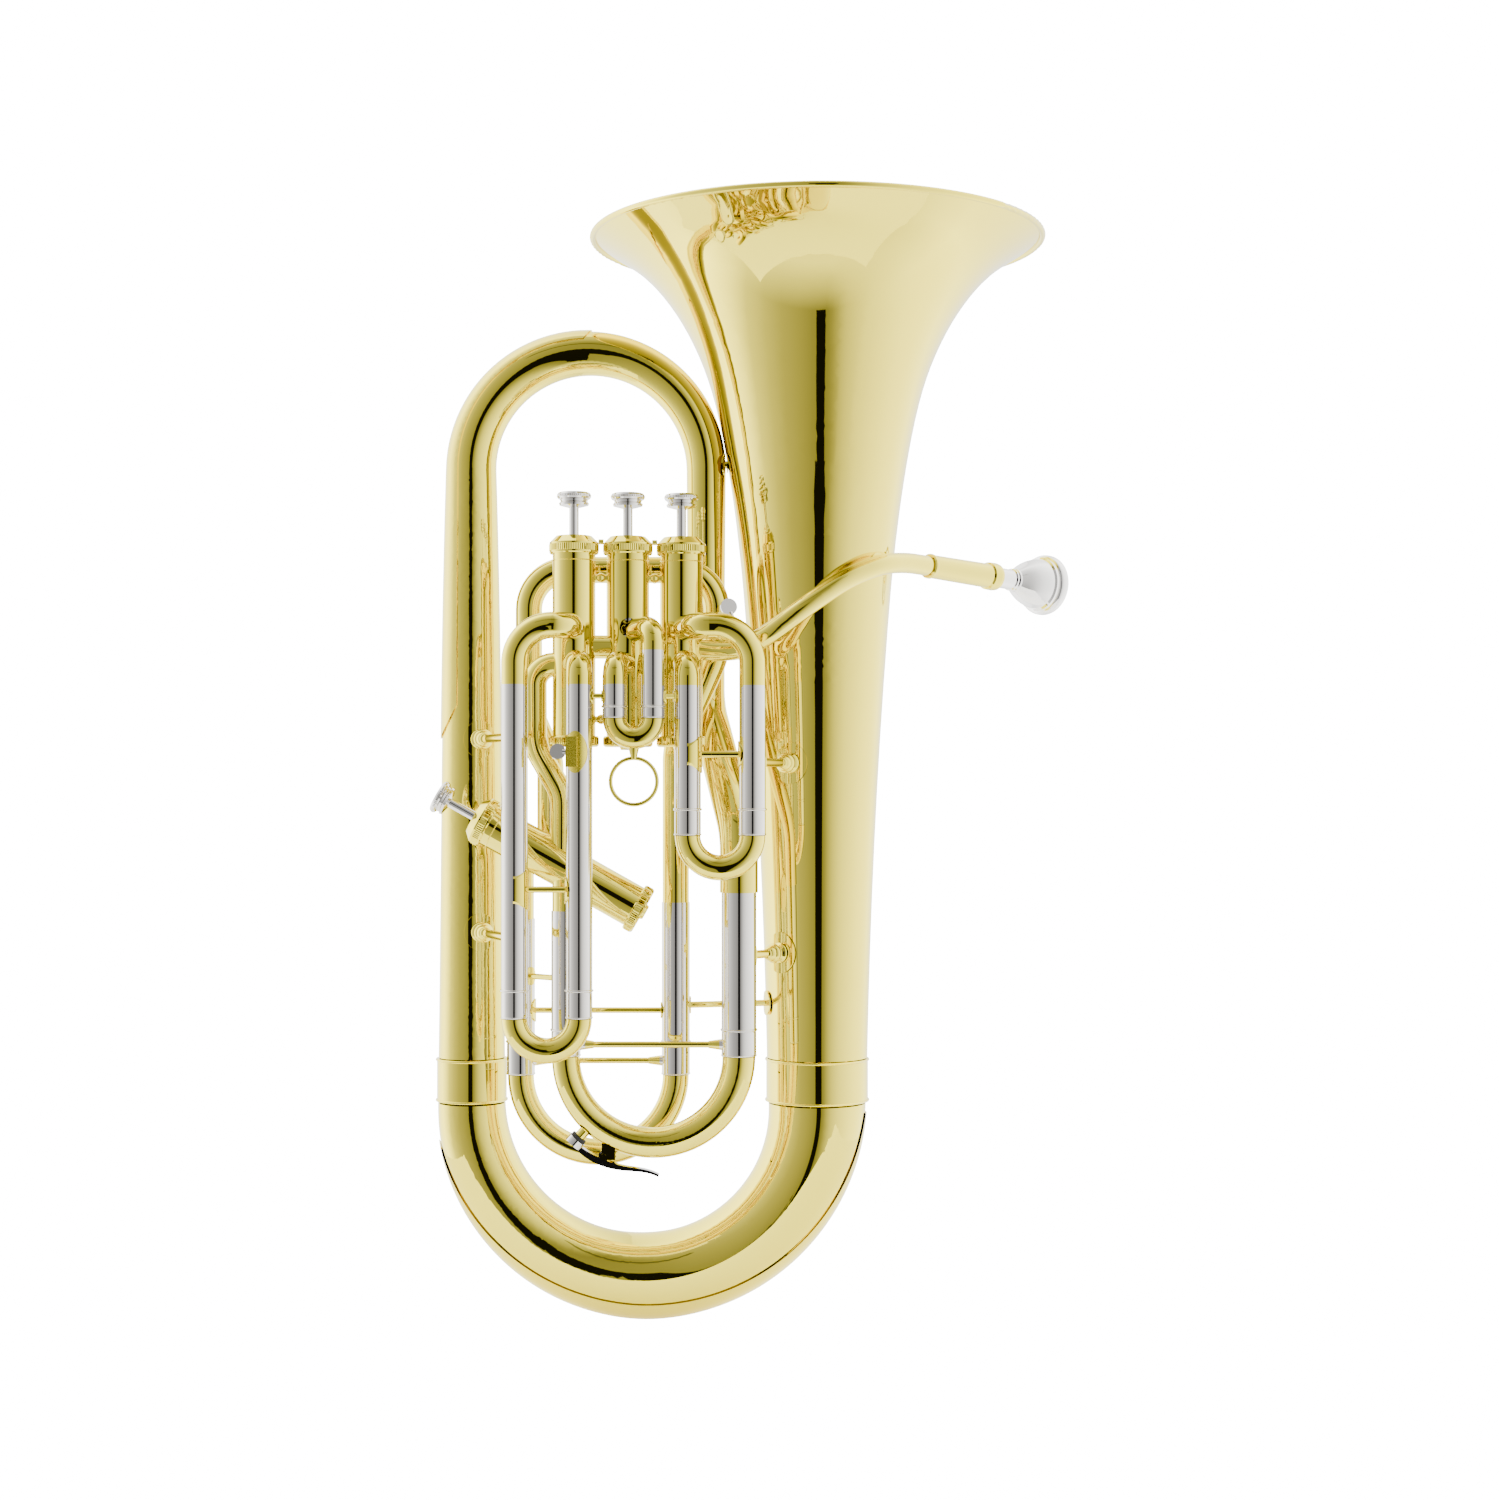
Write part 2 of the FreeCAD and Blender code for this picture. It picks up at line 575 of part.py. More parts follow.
def body_braces():
    bell_low = (BELL_X, 0, 33.4)
    bell_mid = (BELL_X, 0, 38.2)
    bell_foot = (BELL_X, 0, 32.5)
    leg_high = (LEG_X, 0, 18.4)
    leg_low = (LEG_X, 0, 19.6)
    first = SLIDE_1[1][:3]
    third = SLIDE_3[0][:3]
    solids = [stay(leg_high, third, 357, 11.5, 2.6), stay(leg_low, third, 239.4, 11.5, 2.6),
              stay(bell_mid, first, 342.3, 12.5, 2.6), stay(bell_low, MAIN[1][:3], 227.3, 12.5, 2.6),
              stay(bell_foot, FOURTH[1][:3], 195.5, 7.5, 2.0, False)]
    top = stay((DOWN_X, -5, 11.1), (BELL_X, -5, 54.9), 526, 7.0, 2.4, False)
    solids.append(top)
    return solids


def tube_braces():
    """Stays between neighbouring sleeves, each with its soldered feet."""
    solids = [stay(SLIDE_3[0][:3], SLIDE_3[1][:3], 268.1, 12.0, 1.9, False),
              stay(SLIDE_1[0][:3], SLIDE_1[1][:3], 346.9, 11.0, 1.9, False),
              stay(SLIDE_3[1][:3], SLIDE_2[0][:3], 380.7, 4.6, 1.6, False),
              stay(SLIDE_2[1][:3], SLIDE_1[0][:3], 380.7, 4.6, 1.6, False),
              stay(FOURTH[0][:3], FOURTH[1][:3], 192.5, 7.0, 1.8, False),
              stay(FOURTH[0][:3], MAIN[0][:3], 213.6, 5.5, 1.8, False)]
    return solids


def leadpipe_stay():
    foot = V(150, -37.5, 462.5)
    out = V(foot.x - BELL_X, foot.y, 0).normalize()
    base = V(BELL_X, 0, 462.5) + out * 46.5
    post = rod(base, V(BELL_X, 0, 462.5) + out * 53, 3.0)
    plate = Part.makeCylinder(7.0, 1.4, base, out)
    return post.fuse(plate)


# ---------------------------------------------------------------- lyre holder and screws


def lyre_socket():
    sleeve = SLIDE_3[1]
    plate = saddle(V(sleeve[0], sleeve[1], LYRE.z), V(0, 0, 1), sleeve[2], V(-0.25, -1, 0), 12.2, 6.6)
    box = Part.makeBox(6.4, 9.4, 17.4, V(LYRE.x - 3.2, LYRE.y - 3.7, LYRE.z - 8.7))
    body = plate.fuse(box)
    body = body.cut(Part.makeCylinder(sleeve[2], 60, V(sleeve[0], sleeve[1], LYRE.z - 30)))
    body = body.cut(Part.makeCylinder(LYRE_BORE, 30, V(LYRE.x, LYRE.y, LYRE.z - 15)))
    return body.cut(rod(LYRE - V(9, 0, 0), LYRE, SCREW_R + 0.06))


def thumb_screw(tip, direction, shank, size):
    """Coin-headed screw: the flat head stands on edge at the end of the shank."""
    out = V(direction).normalize()
    centre = tip + out * (shank + size - 0.8)
    face = out.cross(V(0, 1, 0)).normalize() * COIN_TURN + V(0, 1, 0)
    face.normalize()
    coin = Part.makeCylinder(size, COIN_THICK, centre - face * (COIN_THICK / 2), face)
    return rod(tip, tip + out * (shank + 1), SCREW_R).fuse(coin)


def leadpipe_boss():
    """Tapped boss on the leadpipe for its own little screw."""
    block = rod(LEAD_BOSS, LEAD_BOSS + LEAD_SCREW_DIR * 11.5, 3.6)
    hole = rod(LEAD_BOSS + LEAD_SCREW_DIR * 5, LEAD_BOSS + LEAD_SCREW_DIR * 12, SCREW_R + 0.06)
    return block.cut(hole)


# ---------------------------------------------------------------- main slide and water key


def main_slide():
    body = slide(MAIN, (8.3, 9.9))
    centre = V(MAIN_MID_X, MAIN_Y, MAIN[0][5])
    nipple = rod(centre + KEY_AXIS * 57, centre + KEY_AXIS * 64.2, 3.4)
    saddle_block = Part.makeBox(8.0, 12.4, 10.0, KEY_PIVOT - V(1.0, 6.2, 2.4))
    slot = Part.makeBox(30, 8.0, 30, KEY_PIVOT - V(15, 4.0, 15))
    ears = saddle_block.cut(slot)
    for side in (-5.1, 5.1):
        ears = ears.fuse(Part.makeCylinder(2.4, 2.2, KEY_PIVOT + V(0, side - 1.1, 0), V(0, 1, 0)))
    pin = Part.makeCylinder(KEY_PIN_R, 13.6, KEY_PIVOT - V(0, 6.8, 0), V(0, 1, 0))
    bore = bow_loft(centre, MAIN_HALF, [(i * 15, 8.8 - 1.6 * i / 12) for i in range(13)], 0)
    extra = fuse([nipple, ears, pin]).cut(bore)
    drain = rod(centre + KEY_AXIS * 50, centre + KEY_AXIS * 66, 1.6)
    bar = fuse([rod(V(MAIN[0][0] + 7.5, MAIN_Y, 174.4), V(MAIN[1][0] - 9.0, MAIN_Y, 174.4), 1.9),
                Part.makeCone(3.6, 2.2, 9, V(MAIN[0][0] + 7.6, MAIN_Y, 174.4), V(1, 0, 0)),
                Part.makeCone(3.6, 2.2, 9, V(MAIN[1][0] - 9.2, MAIN_Y, 174.4), V(-1, 0, 0))])
    return body.fuse(extra).cut(drain).fuse(bar)


def fourth_slide():
    body = slide(FOURTH, (7.9, 7.9))
    bar = fuse([rod(V(FOURTH[0][0] + 7.4, FOURTH_Y, 162), V(FOURTH[1][0] - 7.4, FOURTH_Y, 162), 1.8),
                Part.makeCone(3.4, 2.1, 9, V(FOURTH[0][0] + 7.6, FOURTH_Y, 162), V(1, 0, 0)),
                Part.makeCone(3.4, 2.1, 9, V(FOURTH[1][0] - 7.6, FOURTH_Y, 162), V(-1, 0, 0))])
    return body.fuse(bar)


def water_key():
    """Rocking lever: pad cup at one end, hinge tube in the middle, finger tip at the other."""
    upper = [(-36.5, 114.5), (-30, 110.2), (-22, 106.4), (-11, 102.6), (1, 100.6), (11, 97.2)]
    lower = [(-38.0, 112.0), (-31.5, 106.6), (-23, 102.4), (-11.5, 99.8), (1, 98.7), (10.6, 95.8)]
    top = Part.BSplineCurve()
    top.interpolate([V(x, MAIN_Y - 3, z) for x, z in upper])
    under = Part.BSplineCurve()
    under.interpolate([V(x, MAIN_Y - 3, z) for x, z in lower])
    tip = Part.makeLine(V(upper[-1][0], MAIN_Y - 3, upper[-1][1]), V(lower[-1][0], MAIN_Y - 3, lower[-1][1]))
    heel = Part.makeLine(V(lower[0][0], MAIN_Y - 3, lower[0][1]), V(upper[0][0], MAIN_Y - 3, upper[0][1]))
    plate = Part.Face(Part.Wire([top.toShape(), tip, under.toShape(), heel])).extrude(V(0, 6, 0))
    hub = Part.makeCylinder(3.1, 7.4, KEY_PIVOT - V(0, 3.7, 0), V(0, 1, 0))
    centre = V(MAIN_MID_X, MAIN_Y, MAIN[0][5])
    cup = rod(centre + KEY_AXIS * 66.6, centre + KEY_AXIS * 70.8, 5.6)
    web = Part.makeBox(4.0, 5.0, 5.0, KEY_PIVOT - V(2.0, 2.5, 6.0))
    lever = fuse([plate, hub, cup, web])
    lever = lever.cut(Part.makeCylinder(KEY_PIN_R + 0.06, 20, KEY_PIVOT - V(0, 10, 0), V(0, 1, 0)))
    return lever.cut(rod(centre + KEY_AXIS * 60, centre + KEY_AXIS * 67.6, 5.0))


def water_key_pad():
    centre = V(MAIN_MID_X, MAIN_Y, MAIN[0][5])
    return rod(centre + KEY_AXIS * 64.5, centre + KEY_AXIS * 67.6, 4.9)


# ---------------------------------------------------------------- assembly
def main():
    os.makedirs(OUT, exist_ok=True)
    trim = full_casings()
    stem_of_bell, flare, horn = bell_parts()
    save(stem_of_bell, "bell_stem")
    save(flare, "bell_flare")
    save(bottom_bow(0).cut(bottom_bow(-WALL)), "bottom_bow")
    save(bottom_guard(), "bottom_bow_guard")
    save(Part.makeCompound(ferrules()), "bow_ferrules")
    save(leg_solid(0).cut(leg_solid(-WALL)), "left_leg")
    save(top_bow(0).cut(top_bow(-WALL)), "top_bow")
    save(top_guard(), "top_bow_guard")
    save(down_branch(), "down_branch")
    caps = []
    feet = []
    up = V(0, 0, 1)
    for number, seat in VALVES.items():
        forward = {1: V(4.6, -32, 0), 2: V(-6.1, -32.5, 0), 3: V(5, -28, 0)}[number].normalize()
        ports = [(PORT_LOW - CASE_LOW, forward), (PORT_MID - CASE_LOW, V(1, 0.14, 0).normalize()),
                 (PORT_HIGH - CASE_LOW, V(0.1, -1, 0).normalize())]
        parts = valve(number, V(seat.x, seat.y, CASE_LOW), up, CASE_TOP - CASE_LOW, ports)
        caps.append(parts.pop("cap"))
        feet.append(parts.pop("foot"))
        for name, solid in parts.items():
            save(solid, "%s_%d" % (name, number))
    lean = (V4_TOP - V4_LOW).normalize()
    low = V4_LOW + lean * 3.5
    ports = [(46, V(0, 1, 0)), (60, V(0, 1, 0)), (76, V(0, 1, 0))]
    parts = valve(4, low, lean, (V4_TOP - V4_LOW).Length - 10.4, ports)
    caps.append(parts.pop("cap"))
    feet.append(parts.pop("foot"))
    for name, solid in parts.items():
        save(solid, name + "_4")
    save(Part.makeCompound(caps), "valve_top_caps")
    save(Part.makeCompound(feet), "valve_bottom_caps")
    for name, solids in knuckles(trim).items():
        save(Part.makeCompound(solids), name)
    for name, legs in (("slide_1_sleeves", SLIDE_1), ("slide_2_sleeves", SLIDE_2), ("slide_3_sleeves", SLIDE_3),
                       ("fourth_slide_sleeves", FOURTH), ("main_slide_sleeves", MAIN)):
        save(Part.makeCompound(sleeves(legs)), name)
    save(slide(SLIDE_1, (7.5, 7.5)), "valve_slide_1")
    save(slide(SLIDE_2, (6.8, 6.8)), "valve_slide_2")
    ring_loop = pull_ring().cut(bow_loft(V((SLIDE_2[0][0] + SLIDE_2[1][0]) / 2, FRONT_Y, SLIDE_2[0][5]),
                                         (SLIDE_2[1][0] - SLIDE_2[0][0]) / 2,
                                         [(i * 15, 6.8) for i in range(13)], 0))
    save(ring_loop, "pull_ring")
    save(slide(SLIDE_3, (7.5, 7.5)), "valve_slide_3")
    save(fourth_slide(), "fourth_slide")
    save(main_slide(), "main_tuning_slide")
    save(crossover(trim), "valve_crossover")
    save(fourth_branch(trim), "fourth_branch")
    save(Part.makeCompound(valve_4_knuckles(trim)), "valve_4_knuckles")
    save(Part.makeCompound(casing_links(trim)), "casing_links")
    lead = leadpipe(trim).cut(Part.makeCylinder(LEAD_R + 2, 12, RECEIVER_START, MOUTH_DIR))
    save(lead, "leadpipe")
    save(receiver(), "mouthpiece_receiver")
    save(mouthpiece(), "mouthpiece")
    bow = top_bow(0)
    trunk = [horn, bow, down_branch_solid(0)]
    save(Part.makeCompound([trimmed(brace, trunk) for brace in body_braces()]), "body_braces")
    save(Part.makeCompound(tube_braces()), "tube_braces")
    lead_bar = bent(LEAD, LEAD_R, smooth_bends(LEAD))
    fittings = [trimmed(piece, [horn, lead_bar]) for piece in (leadpipe_stay(), leadpipe_boss())]
    save(Part.makeCompound(fittings), "leadpipe_fittings")
    save(lyre_socket(), "lyre_socket")
    save(thumb_screw(LYRE - V(2.7, 0, 0), V(-1, 0, 0), 1.4, 4.6), "lyre_thumb_screw")
    save(thumb_screw(LEAD_BOSS + LEAD_SCREW_DIR * 6.5, LEAD_SCREW_DIR, 14, 5.0), "leadpipe_thumb_screw")
    save(water_key(), "water_key")
    save(water_key_pad(), "water_key_pad")


main()
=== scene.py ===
import bpy
import math
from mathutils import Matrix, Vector


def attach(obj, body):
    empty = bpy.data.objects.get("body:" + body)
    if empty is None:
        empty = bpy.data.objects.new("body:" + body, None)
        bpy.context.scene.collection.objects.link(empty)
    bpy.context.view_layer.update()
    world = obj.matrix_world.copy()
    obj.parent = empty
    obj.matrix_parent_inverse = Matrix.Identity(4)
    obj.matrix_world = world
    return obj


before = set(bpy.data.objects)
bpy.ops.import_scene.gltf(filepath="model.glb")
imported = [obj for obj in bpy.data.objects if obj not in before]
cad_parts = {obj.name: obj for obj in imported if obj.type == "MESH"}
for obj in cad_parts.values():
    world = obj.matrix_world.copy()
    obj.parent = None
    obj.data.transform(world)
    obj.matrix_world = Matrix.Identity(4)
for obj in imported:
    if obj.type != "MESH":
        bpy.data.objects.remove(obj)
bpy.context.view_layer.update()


# ---------------------------------------------------------------- bell
# The bell's stem is rolled and its flare spun from sheet brass, with a wire rolled into the rim.
# Both are brazed edge to edge, buffed to a mirror and sprayed with clear lacquer.
def linear(code):
    """sRGB hex to the linear colour that shaders take."""
    channels = [int(code[i:i + 2], 16) / 255 for i in (0, 2, 4)]
    return tuple(c / 12.92 if c <= 0.04045 else ((c + 0.055) / 1.055) ** 2.4 for c in channels) + (1.0,)


def add(tree, kind, settings=(), **links):
    """One shader node: settings are property or input values, links are sockets that feed inputs."""
    node = tree.nodes.new(kind)
    for name, value in dict(settings).items():
        if isinstance(name, int) or name in node.inputs:
            node.inputs[name].default_value = value
        else:
            setattr(node, name, value)
    for name, socket in links.items():
        spot = int(name[1:]) if name[0] == "i" and name[1:].isdigit() else name.replace("_", " ")
        tree.links.new(socket, node.inputs[spot])
    return node


def new_material(name):
    material = bpy.data.materials.new(name)
    material.use_nodes = True
    tree = material.node_tree
    tree.nodes.clear()
    output = tree.nodes.new("ShaderNodeOutputMaterial")
    shader = tree.nodes.new("ShaderNodeBsdfPrincipled")
    tree.links.new(shader.outputs[0], output.inputs[0])
    return material, tree, shader


def colour_drift(tree, place, light, deep, patch_mm):
    """Slow change of tone between two close colours, in patches of about the size given."""
    drift = add(tree, "ShaderNodeTexNoise", {"Scale": 1000.0 / patch_mm, "Detail": 3.0}, Vector=place)
    return add(tree, "ShaderNodeMix", {"data_type": "RGBA", 6: linear(deep), 7: linear(light)},
               i0=drift.outputs["Fac"]).outputs[2]


HAIRLINE_MM, WAVE_MM = 0.4, 30.0


def buffed_surface(tree, shader, place, roughness):
    """What buffing leaves: hairlines that vary the polish and a very shallow unevenness."""
    hair = add(tree, "ShaderNodeTexNoise", {"Scale": 1000.0 / HAIRLINE_MM, "Detail": 2.0}, Vector=place)
    polish = add(tree, "ShaderNodeMapRange", {"From Min": 0.3, "From Max": 0.7, "To Min": roughness * 0.6,
                                              "To Max": roughness * 1.5}, Value=hair.outputs["Fac"])
    tree.links.new(polish.outputs[0], shader.inputs["Roughness"])
    wave = add(tree, "ShaderNodeTexNoise", {"Scale": 1000.0 / WAVE_MM, "Detail": 1.0}, Vector=place)
    bump = add(tree, "ShaderNodeBump", {"Strength": 0.02, "Distance": 0.0002}, Height=wave.outputs["Fac"])
    tree.links.new(bump.outputs[0], shader.inputs["Normal"])


METAL_PATCH_MM = 70.0


def polished_metal(name, light, deep, roughness, lacquer):
    """Mirror-buffed metal; lacquer is the strength of the clear coat over it."""
    material, tree, shader = new_material(name)
    shader.inputs["Metallic"].default_value = 1.0
    shader.inputs["Coat Weight"].default_value = lacquer
    shader.inputs["Coat Roughness"].default_value = 0.03
    place = add(tree, "ShaderNodeTexCoord").outputs["Object"]
    tree.links.new(colour_drift(tree, place, light, deep, METAL_PATCH_MM), shader.inputs["Base Color"])
    buffed_surface(tree, shader, place, roughness)
    return material


def dress(nodes, material):
    """Give carried-over pieces their finish."""
    for name in nodes:
        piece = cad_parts[name]
        piece.data.materials.clear()
        piece.data.materials.append(material)


# yellow brass, mirror-buffed, under clear lacquer
YELLOW_BRASS, DEEP_BRASS = "F2E150", "ECD946"
lacquered_brass = polished_metal("lacquered_yellow_brass", YELLOW_BRASS, DEEP_BRASS, 0.02, 0.03)
dress(["bell_stem", "bell_flare"], lacquered_brass)


# ---------------------------------------------------------------- bottom bow
# The big bow is two half shells of sheet brass brazed along their edges, joined to the leg and the
# bell by beaded ferrules.  A brass plate soldered along its outside takes the knocks.
dress(["bottom_bow", "bow_ferrules"], lacquered_brass)

# the same brass, rubbed duller where the horn stands and rests on the player's lap
guard_brass = polished_metal("rubbed_guard_brass", "F0DE52", "E8D446", 0.04, 0.03)
dress(["bottom_bow_guard"], guard_brass)


# ---------------------------------------------------------------- legs and top bow
# Drawn and tapered brass tubes.  The top bow carries a guard plate where the hand holds the horn,
# and its narrow leg bends forward to meet the main tuning slide.
dress(["left_leg", "top_bow", "down_branch"], lacquered_brass)
dress(["top_bow_guard"], guard_brass)


# ---------------------------------------------------------------- braces
# Turned brass posts with a ball, soldered between oval feet that are curved to the tubes.
dress(["body_braces", "tube_braces", "casing_links"], lacquered_brass)


def crosswise(axis):
    """The axis made one long, and two directions square to it and to each other."""
    up = Vector(axis).normalized()
    side = up.orthogonal().normalized()
    return up, side, up.cross(side)


def ringed_piece(name, rings, material, smooth):
    """Piece made of rings of points, each joined to the next by a band of four-sided faces."""
    around = len(rings[0])
    faces = []
    for level in range(len(rings) - 1):
        for i in range(around):
            a, b = level * around + i, level * around + (i + 1) % around
            faces.append((a, b, b + around, a + around))
    mesh = bpy.data.meshes.new(name)
    mesh.from_pydata([point for ring in rings for point in ring], [], faces)
    mesh.materials.append(material)
    mesh.polygons.foreach_set("use_smooth", [smooth] * len(faces))
    piece = bpy.data.objects.new(name, mesh)
    bpy.context.scene.collection.objects.link(piece)
    return piece


def turned(name, base, axis, outline, material, around=48):
    """Lathe-turned piece: outline is a list of (distance along the axis, radius) in millimetres."""
    up, side, across = crosswise(axis)
    rings = []
    for along, reach in outline:
        ring = []
        for i in range(around):
            angle = 2 * math.pi * i / around
            out = (side * math.cos(angle) + across * math.sin(angle)) * reach
            ring.append(Vector(base) + (up * along + out) / 1000)
        rings.append(ring)
    return ringed_piece(name, rings, material, True)


# each: (trunk axis x, trunk radius, slide tube x, slide tube y, height)
STAYS = [(-106.5, 18.4, -71.9, -85.0, 357.0), (-106.5, 19.6, -71.9, -85.0, 239.4),
         (106.5, 38.2, 66.5, -80.0, 342.3), (106.5, 33.4, 58.5, -51.0, 227.3)]
BOSS = [(1.2, 6.2), (2.0, 6.0), (2.8, 4.3), (3.6, 3.7), (4.4, 4.6), (5.4, 5.6), (6.6, 6.1), (7.8, 5.9),
        (9.0, 5.0), (10.0, 3.6), (10.8, 2.9), (11.4, 3.5), (12.0, 3.7), (12.6, 3.4), (13.2, 2.7)]
for number, (trunk_x, trunk_r, slide_x, slide_y, stay_z) in enumerate(STAYS, 1):
    towards = Vector((slide_x - trunk_x, slide_y, 0)).normalized()
    foot = Vector((trunk_x, 0, stay_z)) + towards * trunk_r
    boss = turned("brace_boss_%d" % number, foot / 1000, towards, BOSS, lacquered_brass)
    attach(boss, "horn")


# ---------------------------------------------------------------- leadpipe and receiver
# The leadpipe is a slender tapered tube.  Its receiver is a thicker sleeve with a ring and a rolled
# collar, and a small boss on the pipe holds a coin-headed screw.
dress(["leadpipe", "leadpipe_fittings", "mouthpiece_receiver"], lacquered_brass)


# ---------------------------------------------------------------- mouthpiece
# Turned from brass bar and silver plated: cup, rounded rim, two beads and a tapered shank.
# bright silver plate over turned brass
silver_plate = polished_metal("silver_plate", "FAF8F4", "F4F1EB", 0.03, 0.0)
dress(["mouthpiece"], silver_plate)


# ---------------------------------------------------------------- valve casings and caps
# Brass tubes with the port tubes soldered in; the caps screw on and have a knurled band for grip.
dress(["valve_casing_1", "valve_casing_2", "valve_casing_3", "valve_casing_4", "valve_top_caps",
       "valve_bottom_caps", "slide_1_knuckles", "slide_2_knuckles", "slide_3_knuckles", "valve_crossover",
       "fourth_branch", "valve_4_knuckles"], lacquered_brass)


def knurled_band(name, centre, axis, material, radius, height, depth, teeth):
    """Band of straight knurling: a ring whose outside runs in and out, tooth by tooth."""
    up, side, across = crosswise(axis)
    levels = ((-height / 2, radius - depth), (-height / 2 + depth, radius), (height / 2 - depth, radius),
              (height / 2, radius - depth))
    count = teeth * 2
    rings = []
    for along, reach in levels:
        ring = []
        for i in range(count):
            out = reach - (depth if i % 2 else 0.0)
            angle = 2 * math.pi * i / count
            spoke = side * math.cos(angle) + across * math.sin(angle)
            ring.append(Vector(centre) + up * along + spoke * out)
        rings.append(ring)
    return ringed_piece(name, rings, material, False)


# metres: foot of each upright casing (x, y), then the heights of their bottom and top caps
VALVE_SEATS = {1: (0.0241, -0.048), 2: (-0.0076, -0.0525), 3: (-0.0393, -0.057)}
VALVE_LOW, VALVE_TOP = 0.355, 0.470
# ends of the slanted casing; the lower band sits in from the low end by the first inset, and the
# two bands are closer together than the ends are by the second
LEAN_LOW = Vector((0.0014, -0.048, 0.2534))
LEAN_TOP = Vector((-0.0994, -0.048, 0.3103))
LOW_INSET, BOTH_INSETS = 0.0035, 0.0104
lean = (LEAN_TOP - LEAN_LOW).normalized()
seats = {number: (Vector((x, y, VALVE_LOW)), Vector((x, y, VALVE_TOP)), Vector((0, 0, 1)))
         for number, (x, y) in VALVE_SEATS.items()}
lean_seat = LEAN_LOW + lean * LOW_INSET
lean_end = lean_seat + lean * ((LEAN_TOP - LEAN_LOW).length - BOTH_INSETS)
seats[4] = (lean_seat, lean_end, lean)
CAP_KNURL = {"radius": 0.01482, "height": 0.0042, "depth": 0.00024, "teeth": 72}
TOP_BAND_DROP = 0.0004
for number, (low, top, axis) in seats.items():
    for place, spot in (("bottom", low), ("top", top - axis * TOP_BAND_DROP)):
        band = knurled_band("knurl_%s_cap_%d" % (place, number), spot, axis, lacquered_brass, **CAP_KNURL)
        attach(band, "horn")


# ---------------------------------------------------------------- pistons, stems and buttons
# The pistons are nickel silver, honed to a running fit.  The stems and waisted finger buttons are
# bright nickel plate over brass, with a fine knurl round each button's edge.
# nickel silver, honed and polished
NICKEL_SILVER, DEEP_NICKEL = "E0DCD5", "D6D1C9"
nickel_silver = polished_metal("polished_nickel_silver", NICKEL_SILVER, DEEP_NICKEL, 0.02, 0.0)
dress(["piston_1", "piston_2", "piston_3", "piston_4"], nickel_silver)
# bright nickel plate over turned brass
bright_nickel = polished_metal("bright_nickel_plate", "E4E1DB", "DCD8D1", 0.03, 0.0)
dress(["stem_1", "stem_2", "stem_3", "stem_4", "finger_button_1", "finger_button_2", "finger_button_3",
       "finger_button_4"], bright_nickel)
# bare spring wire
spring_wire = polished_metal("bare_spring_wire", "8C8983", "7D7A74", 0.25, 0.0)
dress(["valve_spring_1", "valve_spring_2", "valve_spring_3", "valve_spring_4"], spring_wire)
# metres: the button's edge stands this far above its top cap
BUTTON_RISE = 0.0304
BUTTON_KNURL = {"radius": 0.01022, "height": 0.0013, "depth": 0.00014, "teeth": 60}
for number, (low, top, axis) in seats.items():
    grip = knurled_band("knurl_button_%d" % number, top + axis * BUTTON_RISE, axis, bright_nickel,
                        **BUTTON_KNURL)
    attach(grip, "valve_%d" % number)


# ---------------------------------------------------------------- slide sleeves
# Outer slide tubes of nickel silver, soldered to the brass knuckles, each with a half-round ring.
dress(["slide_1_sleeves", "slide_2_sleeves", "slide_3_sleeves", "fourth_slide_sleeves",
       "main_slide_sleeves"], nickel_silver)


# ---------------------------------------------------------------- slides
# Each slide is two nickel-silver inner tubes with nickel-silver ferrules, soldered to a brass bow.
# The solder line under each ferrule shows as a fine dark seam.
SLIDE_ROUGHNESS, NICKEL_PATCH_MM, SEAM_HALF_M = 0.02, 50.0, 0.0002
SOLDER_BROWN = "6B5A2A"


def slide_metal(name, legs, reach_mm, seam_mm):
    """Nickel silver round the two legs above the seam, lacquered brass everywhere else."""
    material, tree, shader = new_material(name)
    shader.inputs["Metallic"].default_value = 1.0
    place = add(tree, "ShaderNodeTexCoord").outputs["Object"]
    split = add(tree, "ShaderNodeSeparateXYZ", i0=place)
    near = [add(tree, "ShaderNodeMath", {"operation": "COMPARE", 1: leg / 1000, 2: reach_mm / 1000},
                i0=split.outputs["X"]) for leg in legs]
    either = add(tree, "ShaderNodeMath", {"operation": "MAXIMUM"}, i0=near[0].outputs[0], i1=near[1].outputs[0])
    above = add(tree, "ShaderNodeMath", {"operation": "GREATER_THAN", 1: seam_mm / 1000}, i0=split.outputs["Z"])
    part = add(tree, "ShaderNodeMath", {"operation": "MULTIPLY"}, i0=either.outputs[0], i1=above.outputs[0])
    brass = colour_drift(tree, place, YELLOW_BRASS, DEEP_BRASS, METAL_PATCH_MM)
    nickel = colour_drift(tree, place, NICKEL_SILVER, DEEP_NICKEL, NICKEL_PATCH_MM)
    metal = add(tree, "ShaderNodeMix", {"data_type": "RGBA"}, i0=part.outputs[0], i6=brass, i7=nickel)
    line = add(tree, "ShaderNodeMath", {"operation": "COMPARE", 1: seam_mm / 1000, 2: SEAM_HALF_M},
               i0=split.outputs["Z"])
    seam = add(tree, "ShaderNodeMix", {"data_type": "RGBA", 7: linear(SOLDER_BROWN)}, i0=line.outputs[0],
               i6=metal.outputs[2])
    tree.links.new(seam.outputs[2], shader.inputs["Base Color"])
    buffed_surface(tree, shader, place, SLIDE_ROUGHNESS)
    return material


